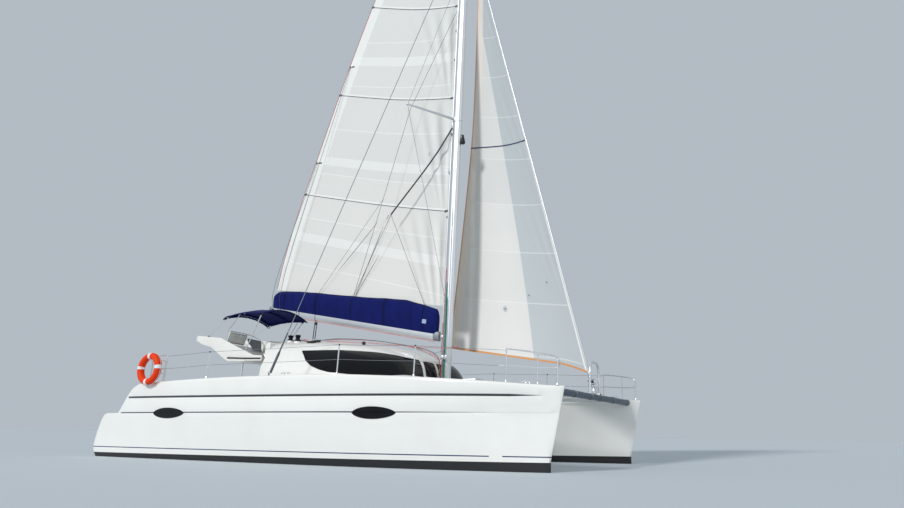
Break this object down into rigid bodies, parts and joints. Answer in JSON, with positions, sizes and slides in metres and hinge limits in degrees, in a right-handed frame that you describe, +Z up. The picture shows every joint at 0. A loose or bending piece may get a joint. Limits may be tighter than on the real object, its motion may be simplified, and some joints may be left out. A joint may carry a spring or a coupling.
{
  "type": "sailing catamaran",
  "caption": "Twin-hulled cruising sailing yacht, afloat with mainsail and genoa set, glazed deckhouse, open cockpit under a hardtop and a raised helm.",
  "frame": {"origin": "on the waterline plane amidships, on the centreline between the hulls", "axes": "+X forward to the bows, +Y to port, +Z up the mast"},
  "size_m": [11.94, 6.74, 18.8],
  "materials": {
    "gelcoat": "white polished gelcoat over glass fibre",
    "tinted_glass": "dark smoked acrylic panes",
    "stainless": "polished stainless tube and wire",
    "aluminium": "white painted and silver anodised spars",
    "sailcloth": "off-white woven polyester sailcloth",
    "navy_canvas": "navy blue woven acrylic canvas",
    "antifouling": "matt black antifouling paint",
    "upholstery": "white coated marine fabric",
    "orange_foam": "orange plastic with white reflective bands",
    "bronze": "cast bronze",
    "netting": "pale grey knotless net"
  },
  "bodies": {
    "hulls": {"hull_port": "gelcoat", "hull_starboard": "gelcoat", "portlight_aft_port": "tinted_glass", "portlight_aft_starboard": "tinted_glass", "portlight_forward_port": "tinted_glass", "portlight_forward_starboard": "tinted_glass", "keel_port": "antifouling", "keel_starboard": "antifouling", "drive_leg_port": "antifouling", "drive_leg_starboard": "antifouling", "bridge_deck": "gelcoat", "deckhouse": "gelcoat", "side_window_port": "tinted_glass", "side_window_starboard": "tinted_glass", "windscreen_port": "tinted_glass", "windscreen_starboard": "tinted_glass", "saloon_bulkhead": "gelcoat", "door_track": "aluminium", "cockpit_bench": "gelcoat", "cockpit_table": "gelcoat", "cockpit_hardtop": "gelcoat", "hardtop_post_port": "stainless", "hardtop_post_starboard": "stainless", "helm_console": "gelcoat", "helm_seat_cushion": "upholstery", "helm_seat_back": "upholstery", "bimini_frame": "stainless", "bimini_canvas": "navy_canvas", "winch_1": "stainless", "winch_2": "stainless", "forward_crossbeam": "aluminium", "centre_strut": "gelcoat", "anchor_striker": "stainless", "net_port": "netting", "net_starboard": "netting", "pulpit_port": "stainless", "pulpit_starboard": "stainless", "guardrail_port": "stainless", "guardrail_starboard": "stainless", "pushpit_port": "stainless", "pushpit_starboard": "stainless", "lifebuoy": "orange_foam", "mast": "aluminium", "spreaders": "aluminium", "cap_shroud_port": "stainless", "cap_shroud_starboard": "stainless", "forestay_furler": "aluminium", "genoa": "sailcloth"},
    "boom_rig": {"boom": "aluminium", "sail_bag": "navy_canvas", "mainsail": "sailcloth"},
    "rudder_p": {"rudder_port": "antifouling"},
    "rudder_s": {"rudder_starboard": "antifouling"},
    "wheel": {"steering_wheel": "stainless"},
    "screw_p": {"propeller_port": "bronze"},
    "screw_s": {"propeller_starboard": "bronze"},
    "door": {"saloon_door": "tinted_glass"},
    "lid_p": {"locker_lid_port": "gelcoat"},
    "lid_s": {"locker_lid_starboard": "gelcoat"}
  },
  "joints": [
    {"name": "boom_swing", "type": "hinge", "parent": "hulls", "child": "boom_rig", "pos_m": [1.8, 0, 2.87], "axis": [0, 0, 1], "range_deg": [-42, 42]},
    {"name": "rudder_turn", "type": "hinge", "parent": "hulls", "child": "rudder_p", "pos_m": [-4.75, 2.43, -0.3], "axis": [0, 0, 1], "range_deg": [-35, 35]},
    {"name": "rudder_s_turn", "type": "hinge", "parent": "hulls", "child": "rudder_s", "pos_m": [-4.75, -2.43, -0.3], "axis": [0, 0, 1], "range_deg": [-35, 35]},
    {"name": "wheel_turn", "type": "hinge", "parent": "hulls", "child": "wheel", "pos_m": [-1.56, -1.8, 2.23], "axis": [1, 0, 0], "range_deg": [-420, 420]},
    {"name": "screw_p_spin", "type": "hinge", "parent": "hulls", "child": "screw_p", "pos_m": [-3.5, 2.43, -0.86], "axis": [1, 0, 0], "continuous": true},
    {"name": "screw_s_spin", "type": "hinge", "parent": "hulls", "child": "screw_s", "pos_m": [-3.5, -2.43, -0.86], "axis": [1, 0, 0], "continuous": true},
    {"name": "door_slide", "type": "slide", "parent": "hulls", "child": "door", "axis": [0, -1, 0], "range_m": [0, 0.9]},
    {"name": "lid_p_lift", "type": "hinge", "parent": "hulls", "child": "lid_p", "pos_m": [2.348, 0.67, 1.548], "axis": [0, -1, 0], "range_deg": [0, 85]},
    {"name": "lid_s_lift", "type": "hinge", "parent": "hulls", "child": "lid_s", "pos_m": [2.348, -0.67, 1.548], "axis": [0, -1, 0], "range_deg": [0, 85]}
  ],
  "couplings": [
    {"joint": "rudder_s_turn", "follows": "rudder_turn", "ratio": 1},
    {"joint": "wheel_turn", "follows": "rudder_turn", "ratio": 12}
  ]
}
